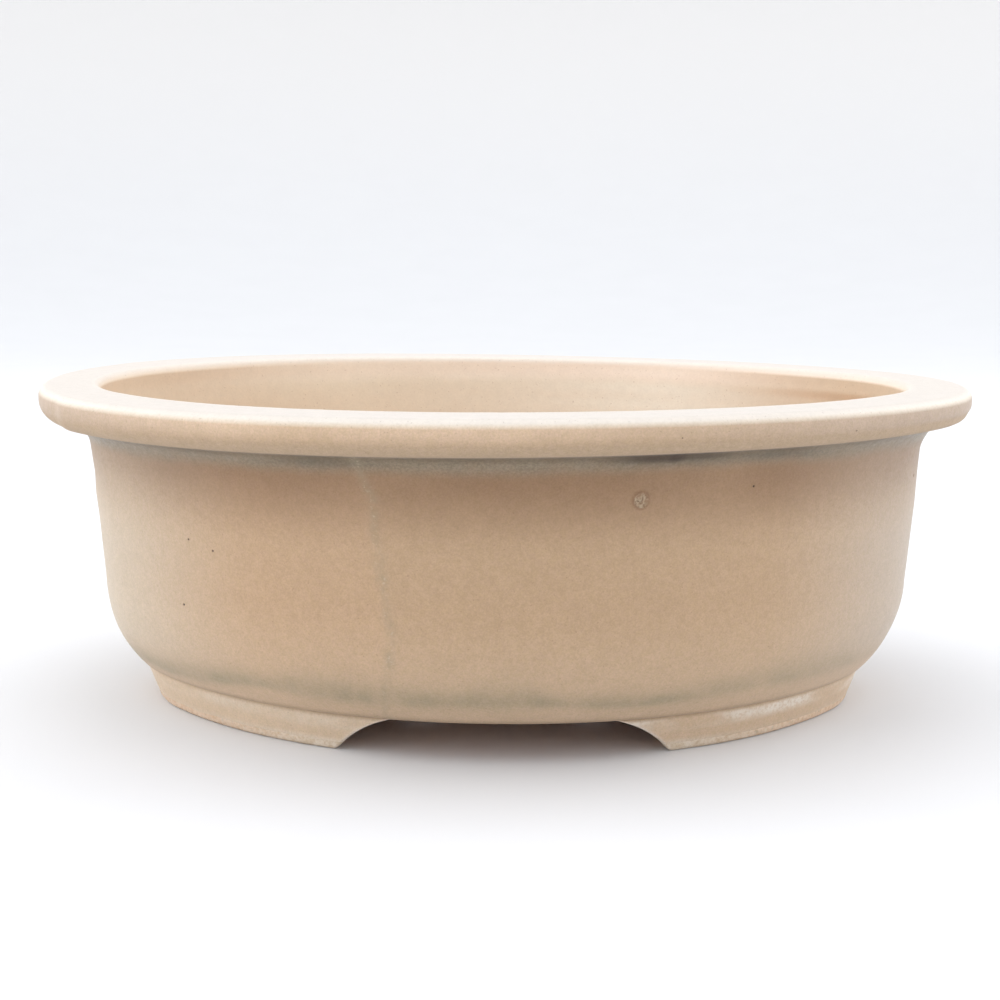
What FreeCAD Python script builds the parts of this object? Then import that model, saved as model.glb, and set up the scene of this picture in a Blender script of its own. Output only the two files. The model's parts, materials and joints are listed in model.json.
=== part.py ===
# Oval bonsai pot: a glazed stoneware bowl with a broad flat rim, on two low feet.
# The pot is built the way such a pot is thrown together from clay: a floor slab,
# a wall round it, a rim strip on the wall and two feet under the floor, all luted
# together, with one coat of glaze over the outside.
# Frame: millimetres, +Z up, +X along the pot, origin on the ground at the centre.
import FreeCAD
import Part

import math
import os

# ---------------------------------------------------------------- plan of the pot
RIM_LENGTH = 255.0          # over the rim, along X
RIM_WIDTH = 199.0           # over the rim, along Y
END_RADIUS = 71.0           # plan radius of the rim's two ends

# ---------------------------------------------------------------- heights
HEIGHT = 88.2               # ground to the rim's top face
FOOT_HEIGHT = 9.8           # ground to the pot's underside
FLOOR_THICK = 7.0           # floor slab
RIM_JOINT_Z = 77.5          # where the rim strip is luted to the wall

# ---------------------------------------------------------------- rim strip
RIM_TOP_ROUND = 2.8         # upper outer edge
RIM_LOW_ROUND = 5.6         # lower outer edge
RIM_UNDER_Z = 79.0          # underside of the overhang
RIM_FILLET = 3.2            # hollow where the overhang runs into the wall
LIP_ROUND = 1.5             # inner edge of the mouth

# ---------------------------------------------------------------- wall
# Half lengths of the outer face, in the plane of the pot's long axis.
WALL_TOP = 115.0            # under the overhang
WALL_WAIST = 111.4          # where the turned-in lower part begins
WALL_WAIST_Z = 34.0
WALL_KNEE = 106.6           # halfway round the turned-in part
WALL_KNEE_Z = 16.9
WALL_BASE = 101.0           # lower edge, on the underside
WALL_THICK = 6.4            # clay and glaze together
INNER_KNEE = 101.2          # the inner face swells to this half length as it turns to the floor
INNER_KNEE_Z = 22.0
FLOOR_INTO_WALL = 2.0       # how far the floor plate reaches into the wall
MOUTH_HALF = 110.4          # inner face just below the lip

# ---------------------------------------------------------------- feet
FOOT_TOP = 100.2             # half length of the feet against the underside
FOOT_BASE = 97.9            # half length of the feet on the ground
FOOT_THICK = 11.8
FOOT_ROUND = 1.0            # edges of the resting face
GAP_HALF = 40.5             # half the gap between the feet, on the ground
GAP_RADIUS = 24.0           # the feet's hollow ends
GAP_APEX = FOOT_HEIGHT + 0.4

# ---------------------------------------------------------------- holes in the floor
DRAIN_RADIUS = 7.5
DRAIN_SPACING = 90.0        # two drainage holes on the long axis
WIRE_RADIUS = 2.0
WIRE_SPACING_X = 44.0       # four tie wire holes in a rectangle
WIRE_SPACING_Y = 76.0

# ---------------------------------------------------------------- glaze
GLAZE = 0.4
GLAZE_FOOT_Z = 1.6          # the glaze is wiped off the feet below this
GLAZE_INSIDE_Z = 66.0       # how far the glaze runs down inside the mouth
GLAZE_LAP = 2.0             # how far the coat laps under the turned-in base

UP = FreeCAD.Vector(0, 0, 1)
HALF = RIM_LENGTH / 2
HALF_WIDTH = RIM_WIDTH / 2
FLOOR_TOP = FOOT_HEIGHT + FLOOR_THICK
FLOOR_HALF = WALL_BASE - WALL_THICK + FLOOR_INTO_WALL
FAR = 20.0                  # how far a cutting shape reaches past the clay


def plan_arcs():
    """Four arcs of the rim's oval: centre x, centre y, radius, first angle, sweep."""
    across = HALF - END_RADIUS
    side_radius = (across ** 2 + HALF_WIDTH ** 2 - END_RADIUS ** 2) / (2 * (HALF_WIDTH - END_RADIUS))
    down = side_radius - HALF_WIDTH
    turn = math.degrees(math.atan2(down, across))
    return [
        (across, 0.0, END_RADIUS, -turn, 2 * turn),
        (0.0, -down, side_radius, turn, 180 - 2 * turn),
        (-across, 0.0, END_RADIUS, 180 - turn, 2 * turn),
        (0.0, down, side_radius, 180 + turn, 180 - 2 * turn),
    ]


def at(half_length, z):
    """A point of the section, given by the half length of the oval it runs round."""
    return FreeCAD.Vector(half_length, 0, z)


def line(start, end):
    return Part.makeLine(start, end)


def corner(before, tip, after, radius):
    """Round the corner at tip; returns the arc's start, the arc and its end."""
    back = (before - tip).normalize()
    ahead = (after - tip).normalize()
    half_angle = back.getAngle(ahead) / 2
    start = tip + back * (radius / math.tan(half_angle))
    end = tip + ahead * (radius / math.tan(half_angle))
    to_centre = (back + ahead).normalize() * (radius / math.sin(half_angle))
    middle = tip + to_centre - (back + ahead).normalize() * radius
    return start, Part.Arc(start, middle, end).toShape(), end


def section(points):
    """A closed face from (point, corner radius) pairs."""
    edges = []
    starts = []
    ends = []
    count = len(points)
    for i, (tip, radius) in enumerate(points):
        if radius:
            before = points[i - 1][0]
            after = points[(i + 1) % count][0]
            start, arc, end = corner(before, tip, after, radius)
            edges.append(arc)
        else:
            start, end = tip, tip
        starts.append(start)
        ends.append(end)
    for i in range(count):
        edges.append(line(ends[i], starts[(i + 1) % count]))
    return Part.Face(Part.Wire(Part.__sortEdges__(edges)))


def box_section(half_low, half_high, low, high):
    """A rectangle of the section plane."""
    tips = [at(half_low, low), at(half_high, low), at(half_high, high), at(half_low, high)]
    return section([(tip, 0) for tip in tips])


def round_the_oval(face):
    """Carry a section all the way round the pot's oval."""
    pieces = []
    for x, y, radius, first, sweep in plan_arcs():
        centre = FreeCAD.Vector(x, y, 0)
        piece = face.copy()
        piece.translate(FreeCAD.Vector(radius - HALF, 0, 0))
        piece.rotate(FreeCAD.Vector(0, 0, 0), UP, first)
        piece.translate(centre)
        pieces.append(piece.revolve(centre, UP, sweep))
    return pieces[0].fuse(pieces[1:]).removeSplitter()


def oval_plate(half_length, low, high):
    """A flat plate whose edge runs round the oval."""
    edges = []
    for x, y, radius, first, sweep in plan_arcs():
        circle = Part.Circle(FreeCAD.Vector(x, y, low), UP, radius + half_length - HALF)
        start = math.radians(first)
        edges.append(Part.Arc(circle, start, start + math.radians(sweep)).toShape())
    outline = Part.Wire(Part.__sortEdges__(edges))
    return Part.Face(outline).extrude(UP * (high - low))


def bowl_section():
    """Rim and wall together, glaze included."""
    waist_inner = at(WALL_WAIST - WALL_THICK, WALL_WAIST_Z)
    floor_inner = at(FLOOR_HALF, FLOOR_TOP)
    inner_middle = at(INNER_KNEE, INNER_KNEE_Z)
    base = at(WALL_BASE, FOOT_HEIGHT)
    waist = at(WALL_WAIST, WALL_WAIST_Z)
    turned_in = Part.Arc(base, at(WALL_KNEE, WALL_KNEE_Z), waist).toShape()
    wall_top = at(WALL_TOP, RIM_UNDER_Z)
    fillet = corner(waist, wall_top, at(HALF, RIM_UNDER_Z), RIM_FILLET)
    low_edge = corner(wall_top, at(HALF, RIM_UNDER_Z), at(HALF, HEIGHT), RIM_LOW_ROUND)
    top_edge = corner(at(HALF, RIM_UNDER_Z), at(HALF, HEIGHT), at(MOUTH_HALF, HEIGHT), RIM_TOP_ROUND)
    lip = corner(at(HALF, HEIGHT), at(MOUTH_HALF, HEIGHT), waist_inner, LIP_ROUND)
    inner_curve = Part.Arc(waist_inner, inner_middle, floor_inner).toShape()
    edges = [
        turned_in,
        line(waist, fillet[0]), fillet[1],
        line(fillet[2], low_edge[0]), low_edge[1],
        line(low_edge[2], top_edge[0]), top_edge[1],
        line(top_edge[2], lip[0]), lip[1],
        line(lip[2], waist_inner), inner_curve,
        line(floor_inner, at(FLOOR_HALF, FOOT_HEIGHT)),
        line(at(FLOOR_HALF, FOOT_HEIGHT), base),
    ]
    return Part.Face(Part.Wire(edges))


def foot_section():
    """The feet, glaze included, as if they ran all the way round."""
    inner = FOOT_TOP - FOOT_THICK
    return section([
        (at(inner, FOOT_HEIGHT), 0),
        (at(inner, 0), FOOT_ROUND),
        (at(FOOT_BASE, 0), FOOT_ROUND),
        (at(FOOT_TOP, FOOT_HEIGHT), 0),
    ])


def glaze_zone():
    """The part of the section the glaze covers: all outside, and a band inside the mouth."""
    middle = WALL_THICK / 2
    edge = FOOT_TOP - GLAZE_LAP
    right = HALF + FAR
    outside = section([(tip, 0) for tip in (
        at(edge, GLAZE_FOOT_Z),
        at(right, GLAZE_FOOT_Z),
        at(right, HEIGHT + FAR),
        at(WALL_TOP - middle, HEIGHT + FAR),
        at(WALL_TOP - middle, RIM_UNDER_Z),
        at(WALL_WAIST - middle, WALL_WAIST_Z),
        at(WALL_KNEE - middle, WALL_KNEE_Z),
        at(edge, FOOT_HEIGHT + GLAZE),
    )])
    mouth = box_section(FOOT_TOP, right, GLAZE_INSIDE_Z, HEIGHT + FAR)
    return outside.fuse(mouth).removeSplitter()


def glaze_section():
    """The coat of glaze: the skin of the pot's section, inside the glazed zone."""
    pot = bowl_section().fuse(foot_section()).removeSplitter().Faces[0]
    skin = pot.cut(pot.makeOffset2D(-GLAZE))
    return skin.common(glaze_zone()).removeSplitter().Faces[0]


def gap_cutter():
    """The arched gap between the feet, running through the pot from front to back."""
    centre_z = GAP_APEX - GAP_RADIUS
    centre_x = GAP_HALF - math.sqrt(GAP_RADIUS ** 2 - centre_z ** 2)
    low = math.asin(-centre_z / GAP_RADIUS)
    high = math.asin((FOOT_HEIGHT - centre_z) / GAP_RADIUS)
    y = -RIM_WIDTH

    def on_arc(side, angle):
        x = centre_x + GAP_RADIUS * math.cos(angle)
        return FreeCAD.Vector(side * x, y, centre_z + GAP_RADIUS * math.sin(angle))

    edges = []
    for side in (-1, 1):
        foot = on_arc(side, low)
        below = FreeCAD.Vector(foot.x, y, -FAR)
        arc = Part.Arc(foot, on_arc(side, (low + high) / 2), on_arc(side, high))
        edges.append(line(below, foot))
        edges.append(arc.toShape())
    edges.append(line(on_arc(-1, high), on_arc(1, high)))
    edges.append(line(FreeCAD.Vector(-GAP_HALF, y, -FAR), FreeCAD.Vector(GAP_HALF, y, -FAR)))
    outline = Part.Wire(Part.__sortEdges__(edges))
    return Part.Face(outline).extrude(FreeCAD.Vector(0, 2 * RIM_WIDTH, 0))


def floor_holes():
    """Cylinders for the drainage holes and the tie wire holes."""
    places = [(side * DRAIN_SPACING / 2, 0, DRAIN_RADIUS) for side in (-1, 1)]
    for x in (-WIRE_SPACING_X / 2, WIRE_SPACING_X / 2):
        for y in (-WIRE_SPACING_Y / 2, WIRE_SPACING_Y / 2):
            places.append((x, y, WIRE_RADIUS))
    return [
        Part.makeCylinder(radius, 2 * FLOOR_TOP, FreeCAD.Vector(x, y, 0))
        for x, y, radius in places
    ]


def half_space(side):
    """A block holding everything on one side of the pot's middle, along X."""
    corner_x = 0 if side > 0 else -RIM_LENGTH
    start = FreeCAD.Vector(corner_x, -RIM_WIDTH, -FAR)
    return Part.makeBox(RIM_LENGTH, 2 * RIM_WIDTH, HEIGHT, start)


def save(name, shape):
    """Write one piece; a piece is always a single sound solid."""
    solid = shape.Solids[0]
    if len(shape.Solids) != 1 or not solid.isValid():
        raise ValueError(name + " is not one valid solid")
    solid.exportStep("parts/" + name + ".step")


def main():
    os.makedirs("parts", exist_ok=True)
    coat = glaze_section()
    bowl_clay = bowl_section().cut(coat)
    foot_clay = foot_section().cut(coat)
    above = box_section(0, HALF + FAR, RIM_JOINT_Z, HEIGHT + FAR)
    gap = gap_cutter()
    feet = round_the_oval(foot_clay.Faces[0]).cut(gap)

    save("rim", round_the_oval(bowl_clay.common(above).Faces[0]))
    save("wall", round_the_oval(bowl_clay.cut(above).Faces[0]))
    save("floor", oval_plate(FLOOR_HALF, FOOT_HEIGHT, FLOOR_TOP).cut(floor_holes()))
    save("left_foot", feet.common(half_space(-1)))
    save("right_foot", feet.common(half_space(1)))
    save("glaze_coat", round_the_oval(coat).cut(gap))


main()
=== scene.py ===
import json
import math

import bmesh
import bpy
import numpy as np
from mathutils import Matrix, Vector


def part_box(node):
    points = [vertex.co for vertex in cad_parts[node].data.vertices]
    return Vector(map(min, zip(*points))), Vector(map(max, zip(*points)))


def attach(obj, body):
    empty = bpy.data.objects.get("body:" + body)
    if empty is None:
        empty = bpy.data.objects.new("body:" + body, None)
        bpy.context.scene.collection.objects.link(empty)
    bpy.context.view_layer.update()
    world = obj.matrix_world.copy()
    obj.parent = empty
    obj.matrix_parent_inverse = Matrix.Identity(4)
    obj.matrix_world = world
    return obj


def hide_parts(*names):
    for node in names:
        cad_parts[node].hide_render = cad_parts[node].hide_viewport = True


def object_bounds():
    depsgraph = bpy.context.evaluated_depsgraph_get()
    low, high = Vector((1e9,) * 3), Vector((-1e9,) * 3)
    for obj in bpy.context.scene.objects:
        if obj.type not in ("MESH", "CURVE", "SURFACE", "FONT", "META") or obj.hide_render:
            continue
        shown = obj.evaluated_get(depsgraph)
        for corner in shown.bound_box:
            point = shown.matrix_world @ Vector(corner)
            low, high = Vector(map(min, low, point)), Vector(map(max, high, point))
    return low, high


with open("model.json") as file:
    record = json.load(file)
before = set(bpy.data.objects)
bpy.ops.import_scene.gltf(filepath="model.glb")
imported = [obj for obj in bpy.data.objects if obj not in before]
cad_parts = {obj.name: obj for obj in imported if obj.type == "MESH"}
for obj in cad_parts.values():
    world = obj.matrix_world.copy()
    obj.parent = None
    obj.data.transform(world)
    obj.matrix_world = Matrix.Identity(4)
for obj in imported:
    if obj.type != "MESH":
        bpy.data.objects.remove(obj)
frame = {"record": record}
cad_low, cad_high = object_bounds()

# Lengths below are millimetres; meshes are made in metres.
MM = 0.001

# ---------- sizes from the frame
coat_low, coat_high = (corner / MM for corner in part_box("glaze_coat"))
floor_low, floor_high = (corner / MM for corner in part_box("floor"))
rim_low, _ = (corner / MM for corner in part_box("rim"))
HALF = coat_high.x
HALF_WIDTH = coat_high.y
TOP = coat_high.z
UNDERSIDE = floor_low.z
FLOOR_TOP = floor_high.z
FLOOR_HALF = floor_high.x
JOINT_Z = rim_low.z
WIPED_Z = coat_low.z
mounts = {mount["name"]: mount for mount in frame["record"]["mounts"]}
DRAIN_X = mounts["right_drain_hole"]["pos_m"][0] / MM
DRAIN_RADIUS = mounts["right_drain_hole"]["dims"]["r_mm"]
WIRES = mounts["wire_holes"]["dims"]

# ---------- section of the pot
END_RADIUS = 71.0  # plan radius of the rim's ends
RIM_THICK = 9.2
RIM_TOP_ROUND = 2.8
RIM_LOW_ROUND = 5.6
RIM_FILLET = 6.0
LIP_ROUND = 1.5
WALL_TOP = 115.0  # half lengths of the wall's outer face, bottom to top
WALL_WAIST = 111.4
WALL_WAIST_Z = 34.0
WALL_KNEE = 106.6
WALL_KNEE_Z = 16.9
WALL_BASE = 101.0
WALL_THICK = 6.4
BASE_ROUND = 1.2
LAP = 2.5  # the coat reaches this far in under the base
MOUTH_HALF = 110.4
FOOT_TOP = 100.2
FOOT_BASE = 97.9
FOOT_THICK = 11.8
FOOT_ROUND = 1.1
GAP_HALF = 40.5
GAP_RADIUS = 24.0
GAP_APEX = UNDERSIDE + 0.4
GLAZE = 0.4
GLAZE_INSIDE_Z = 66.0
SLAB_UNEVEN = 0.12
RIM_UNDER_Z = TOP - RIM_THICK

# ---------- fired shape
WARP = 0.6  # how strongly the rim is twisted
SETTLE = 1.1  # the rim's mean height lies this much below its highest point
HOLLOW_RISE = 0.1  # the hollow under the rim stands this much higher than drawn
HOLLOW_TILT = 0.005  # and climbs to the right this steeply
WOBBLE = 0.35  # the hand-smoothed wall wanders this much
MIDDLE_SHIFT = 0.38  # the wall's middle stands this far right of the centre
TOP_SHIFT = 0.27  # the wall's top stands this far right, but not at the right end
LEFT_TUCK = 0.5  # the left end is drawn in below the rim
RIGHT_FLARE = 0.9  # the right end is drawn out just under the rim
LEFT_LIP = 1.3  # the mouth's left end reaches this much further out
END_ZONE = (60, 105)  # the ends' own shapes set in between these distances from the middle


def smooth(low, high, value):
    """0 below low, 1 above high, an even S between them."""
    t = np.clip((value - low) / (high - low), 0, 1)
    return t * t * (3 - 2 * t)


def span(value, low, full, fall, gone):
    """0 below low, 1 from full to fall, and 0 again above gone."""
    return smooth(low, full, value) * (1 - smooth(fall, gone, value))


# ---------- noise
def lattice(ix, iy, iz, seed):
    """A fixed scattered value from 0 to 1 for every grid corner."""
    mask = 0xFFFFFFFF
    mixed = (ix * 374761393 + iy * 668265263 + iz * 1442695041 + seed * 97531) & mask
    mixed = ((mixed ^ (mixed >> 13)) * 1274126177) & mask
    return ((mixed ^ (mixed >> 16)) & 0xFFFF) / 65535.0


def noise(points, size, seed):
    """Smooth noise from -1 to 1; its lumps are about size across."""
    scaled = points / size + 1000.0
    cell = np.floor(scaled).astype(np.int64)
    part = scaled - cell
    part = part * part * (3 - 2 * part)
    total = 0
    for corner in np.ndindex(2, 2, 2):
        weight = np.prod(np.abs(1 - np.array(corner) - part), axis=-1)
        ix, iy, iz = np.moveaxis(cell + np.array(corner), -1, 0)
        total = total + weight * lattice(ix, iy, iz, seed)
    return 2 * total - 1


def cloud(points, size, seed):
    """Noise in three octaves."""
    return sum(noise(points, size / 2**i, seed + i) / 2**i for i in range(3)) / 1.75


# ---------- plan: a four-centre oval
ACROSS = HALF - END_RADIUS
SIDE_RADIUS = (ACROSS**2 + HALF_WIDTH**2 - END_RADIUS**2) / (2 * (HALF_WIDTH - END_RADIUS))
DOWN = SIDE_RADIUS - HALF_WIDTH
TURN = math.atan2(DOWN, ACROSS)
MID = 14.0  # the girth is measured this far inside the rim's edge
ARCS = [
    (ACROSS, 0.0, END_RADIUS, -TURN, 2 * TURN),
    (0.0, -DOWN, SIDE_RADIUS, TURN, math.pi - 2 * TURN),
    (-ACROSS, 0.0, END_RADIUS, math.pi - TURN, 2 * TURN),
    (0.0, DOWN, SIDE_RADIUS, math.pi + TURN, math.pi - 2 * TURN),
]
ARC_LENGTHS = [(radius - MID) * sweep for _, _, radius, _, sweep in ARCS]
GIRTH = sum(ARC_LENGTHS)


def columns(along):
    """Rim edge points and outward directions, for lengths along the girth."""
    along = np.mod(along, GIRTH)
    edge = np.zeros(along.shape + (2,))
    outward = np.zeros(along.shape + (2,))
    start = 0.0
    for (x, y, radius, first, _), length in zip(ARCS, ARC_LENGTHS):
        here = (along >= start) & (along <= start + length)
        angle = first + (along[here] - start) / (radius - MID)
        direction = np.stack([np.cos(angle), np.sin(angle)], -1)
        outward[here] = direction
        edge[here] = np.array([x, y]) + direction * radius
        start += length
    return edge, outward


def place(along, half_length, z):
    """Points on the pot: along the girth, on the oval of that half length, at height z."""
    along, half_length, z = np.broadcast_arrays(along, half_length, z)
    edge, outward = columns(along)
    flat = edge + outward * (half_length - HALF)[..., None]
    return np.concatenate([flat, z[..., None]], -1)


# ---------- section helpers
def arc_through(first, middle, last, count):
    """Points on the circle arc through three points."""
    a, b, c = (np.array(point, float) for point in (first, middle, last))
    centre = np.linalg.solve(2 * np.array([b - a, c - a]), [b @ b - a @ a, c @ c - a @ a])
    start, end = (math.atan2(y, x) for x, y in (a - centre, c - centre))
    turn = (end - start + math.pi) % (2 * math.pi) - math.pi
    angles = start + turn * np.linspace(0, 1, count)
    radius = np.linalg.norm(a - centre)
    return centre + radius * np.stack([np.cos(angles), np.sin(angles)], -1)


def rounded(before, tip, after, radius, count=12):
    """Points on the arc that rounds a corner."""
    before, tip, after = (np.array(p, float) for p in (before, tip, after))
    back = (before - tip) / np.linalg.norm(before - tip)
    ahead = (after - tip) / np.linalg.norm(after - tip)
    half = math.acos(np.clip(back @ ahead, -1, 1)) / 2
    bisector = (back + ahead) / np.linalg.norm(back + ahead)
    centre = tip + bisector * radius / math.sin(half)
    start = tip + back * radius / math.tan(half)
    end = tip + ahead * radius / math.tan(half)
    return arc_through(start, centre - bisector * radius, end, count)


def spaced(path, step, lumps=()):
    """Walk a path with even steps, and with finer ones near each (place, reach, step)."""
    gaps = np.hypot(*np.diff(path, axis=0).T)
    travelled = np.concatenate([[0], np.cumsum(gaps)])
    where = gather(travelled[-1], step, lumps)
    return np.stack([np.interp(where, travelled, path[:, i]) for i in (0, 1)], -1), where


def gather(total, step, lumps=()):
    """Positions from 0 to total, step apart, and closer together near each lump."""
    fine = np.linspace(0, total, int(total / 0.05) + 2)
    density = np.full(fine.shape, 1 / step)
    for spot, reach, small in lumps:
        near = 1 - smooth(reach, 2 * reach, np.abs(fine - spot))
        density = np.maximum(density, 1 / step + near * (1 / small - 1 / step))
    steps = (density[1:] + density[:-1]) / 2 * np.diff(fine)
    climbed = np.concatenate([[0], np.cumsum(steps)])
    count = int(round(climbed[-1])) + 1
    return np.interp(np.linspace(0, climbed[-1], count), climbed, fine)


def section_normals(path):
    """Unit normals of an open path, on its right-hand side."""
    tangent = np.gradient(path, axis=0)
    tangent /= np.linalg.norm(tangent, axis=1)[:, None]
    return np.stack([tangent[:, 1], -tangent[:, 0]], -1)


# ---------- the pot's outlines
BASE = (WALL_BASE, UNDERSIDE)
WAIST = (WALL_WAIST, WALL_WAIST_Z)
UNDER_RIM = (WALL_TOP, RIM_UNDER_Z)
LOW_EDGE = (HALF, RIM_UNDER_Z)
TOP_EDGE = (HALF, TOP)
LIP = (MOUTH_HALF, TOP)
INNER_WAIST = (WALL_WAIST - WALL_THICK, WALL_WAIST_Z)
INNER_KNEE = (WALL_KNEE - WALL_THICK + 1.0, WALL_KNEE_Z + 5.0)
INNER_BASE = (FLOOR_HALF, FLOOR_TOP)


def outer_outline():
    """From under the base, up the outside, over the rim to the mouth's inner edge."""
    turned_in = arc_through(BASE, (WALL_KNEE, WALL_KNEE_Z), WAIST, 60)
    under = (WALL_BASE - LAP, UNDERSIDE)
    return np.concatenate([
        [under],
        rounded(under, BASE, turned_in[4], BASE_ROUND),
        turned_in[4:],
        rounded(WAIST, UNDER_RIM, LOW_EDGE, RIM_FILLET),
        rounded(UNDER_RIM, LOW_EDGE, TOP_EDGE, RIM_LOW_ROUND, 20),
        rounded(LOW_EDGE, TOP_EDGE, LIP, RIM_TOP_ROUND, 16),
        rounded(TOP_EDGE, LIP, INNER_WAIST, LIP_ROUND, 16),
    ])


def inner_point(z):
    """Half length of the wall's straight inner face at a height."""
    share = (z - INNER_WAIST[1]) / (TOP - INNER_WAIST[1])
    return INNER_WAIST[0] + share * (MOUTH_HALF - INNER_WAIST[0])


# ---------- the shape every piece shares
def warp(x, y):
    """How the rim lies: its left end is low in front and high behind."""
    u, v = x / 100, y / 100
    lie = WARP * (0.11 * v - 1.70 * u * v + 1.51 * u * u * v)
    return np.minimum(lie, SETTLE) - SETTLE


def lean(x, z):
    """How far the wall stands off centre to the right; heights are above the rim's underside."""
    above = z - RIM_UNDER_Z
    upper = smooth(-24, -11, above)
    middle = MIDDLE_SHIFT * smooth(18, 32, z)
    top = TOP_SHIFT * (1 - x / WALL_TOP) * (1 - smooth(-1, 5, above))
    left = LEFT_TUCK * smooth(*END_ZONE, -x) * span(above, -22, -14, -3, 1)
    right = RIGHT_FLARE * smooth(*END_ZONE, x) * span(above, -8, -3, 0, 3)
    return middle * (1 - upper) + top * upper + left + right


def settled(points):
    """The pot as fired: the rim warped, the wall slightly uneven."""
    x, y, z = (points[..., i] for i in range(3))
    moved = points.copy()
    moved[..., 2] += warp(x, y) * smooth(25, 76, z)
    hollow = span(z - RIM_UNDER_Z, -13, -2, 2, 6)
    moved[..., 2] += (HOLLOW_RISE + HOLLOW_TILT * x) * hollow
    left_lip = span(-x, 40, 100, MOUTH_HALF + 0.1, WALL_TOP + 1) * smooth(50, 80, z)
    moved[..., 0] += lean(x, z) - LEFT_LIP * left_lip
    flat = points * np.array([1, 1, 0.6])
    inward = WOBBLE * (0.5 + 0.5 * cloud(flat, 70, 5)) * smooth(12, 30, z)
    length = np.hypot(x, y)
    moved[..., 0] -= inward * x / length
    moved[..., 1] -= inward * y / length
    return moved


# ---------- mesh making
def inside_out(vertices, quads):
    """Whether a closed mesh has its faces turned inwards."""
    a, b, c, d = (vertices[quads[:, i]] for i in range(4))
    volume = np.sum((a + b + c + d) * np.cross(c - a, d - b))
    return volume < 0


def add_object(name, data):
    thing = bpy.data.objects.new(name, data)
    bpy.context.scene.collection.objects.link(thing)
    return thing


def shade_smooth(mesh):
    mesh.polygons.foreach_set("use_smooth", np.ones(len(mesh.polygons), bool))


def mesh_object(name, points, faces, values=None):
    """A smooth-shaded closed piece from points in millimetres and quads of them."""
    mesh = bpy.data.meshes.new(name)
    vertices = (points.reshape(-1, 3) * MM).astype(np.float32)
    faces = np.asarray(faces, np.int32)
    if inside_out(vertices, faces):
        faces = faces[:, ::-1]
    mesh.vertices.add(len(vertices))
    mesh.vertices.foreach_set("co", vertices.ravel())
    mesh.loops.add(faces.size)
    mesh.loops.foreach_set("vertex_index", faces.ravel())
    mesh.polygons.add(len(faces))
    mesh.polygons.foreach_set("loop_start", np.arange(0, faces.size, 4, dtype=np.int32))
    mesh.update(calc_edges=True)
    shade_smooth(mesh)
    for key, value in (values or {}).items():
        attribute = mesh.attributes.new(key, "FLOAT", "POINT")
        attribute.data.foreach_set("value", value.astype(np.float32).ravel())
    return add_object(name, mesh)


def wrap_faces(rows, cols, close_rows=True, close_cols=True):
    """Quads of a grid of rows by cols points, joined up where it closes."""
    r = np.arange(rows if close_rows else rows - 1)
    c = np.arange(cols if close_cols else cols - 1)
    r, c = np.meshgrid(r, c, indexing="ij")
    r2, c2 = (r + 1) % rows, (c + 1) % cols
    quads = np.stack([r * cols + c, r * cols + c2, r2 * cols + c2, r2 * cols + c], -1)
    return quads.reshape(-1, 4)


def finish_piece(thing, node, material):
    """Gives a piece its material, hides the part of model.glb that it stands for, and attaches it
    to the root.
    """
    thing.data.materials.append(material)
    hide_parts(node)
    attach(thing, "root")


def grid_piece(name, node, points, material, masks=None, joined=True):
    """A piece from a grid of points whose rows close up, and whose columns do if joined."""
    quads = wrap_faces(*points.shape[:2], True, joined)
    thing = mesh_object(name, keep_inside(points), quads, masks)
    finish_piece(thing, node, material)


# ---------- glaze features
# Places are (share of the girth, height). The girth starts at the right end and runs
# anticlockwise seen from above, so the front is near three quarters.
CRATER = (0.8585, 67.3)
# (share of the girth, height, radius)
PINHOLES = [
    (0.6699, 53.2, 0.30),
    (0.6833, 51.1, 0.32),
    (0.6633, 34.9, 0.36),
    (0.9061, 69.3, 0.28),
    (0.0201, 65.4, 0.45),
    (0.1210, 47.0, 0.30),
    (0.2460, 62.0, 0.35),
    (0.3380, 30.0, 0.30),
    (0.4370, 56.0, 0.28),
    (0.5220, 41.0, 0.36),
]
RIM_SPECKS = [(0.8660, 83.4, 0.18), (0.9375, 82.6, 0.20), (0.3110, 83.8, 0.25)]
# where the second dip's edge runs down the front, and the share where it does at the back
OVERLAP = [
    (0.7507, 78.0),
    (0.7540, 71.0),
    (0.7571, 66.3),
    (0.7584, 51.8),
    (0.7617, 37.3),
    (0.7647, 32.4),
    (0.7611, 28.7),
    (0.7573, 12.0),
]
BACK_OVERLAP = 0.30
# (share of the girth, reach along it, strength) of the darkest runs of pooled glaze, partly
# painted shade under the rim
DARK_POOLS = [
    (0.7361, 13.0, 0.6),
    (0.8740, 19.0, 0.6),
    (0.9150, 15.0, 0.65),
    (0.2100, 14.0, 0.9),
    (0.3650, 12.0, 0.8),
    (0.0600, 13.0, 0.7),
    (0.5600, 11.0, 0.8),
]
# and of the black line where the pool meets the rim: partly dark glaze, partly painted shade in
# the crease
DARK_SEAMS = [
    (0.8630, 12.0, 0.85),
    (0.8700, 4.0, 1.0),
    (0.8790, 9.0, 0.6),
    (0.2200, 9.0, 0.8),
]

POOL_DEPTH = 6.6  # the pools reach this far down from the rim
POOL_FADE = 4.2
BAND_Z = 16.0  # the grey-green band's height and half width
BAND_SPREAD = 2.6
CRATER_RADIUS = 1.9
ROW_STEP = 0.8
COLUMN_STEP = 1.0
RING_STEP = 2.0
OUTER = outer_outline()
WALL_ROWS = OUTER[(OUTER[:, 1] < RIM_UNDER_Z - 0.1) & (OUTER[:, 0] < WALL_TOP + 1)]
RIM_SIDE_ROWS = OUTER[(OUTER[:, 0] > HALF - 3) & (OUTER[:, 1] > RIM_UNDER_Z)]


def wall_half(z):
    """Half length of the outer face at a height, on the wall."""
    return np.interp(z, WALL_ROWS[:, 1], WALL_ROWS[:, 0])


def rim_half(z):
    """Half length of the outer face at a height, on the rim's side."""
    return np.interp(z, RIM_SIDE_ROWS[:, 1], RIM_SIDE_ROWS[:, 0])


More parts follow.
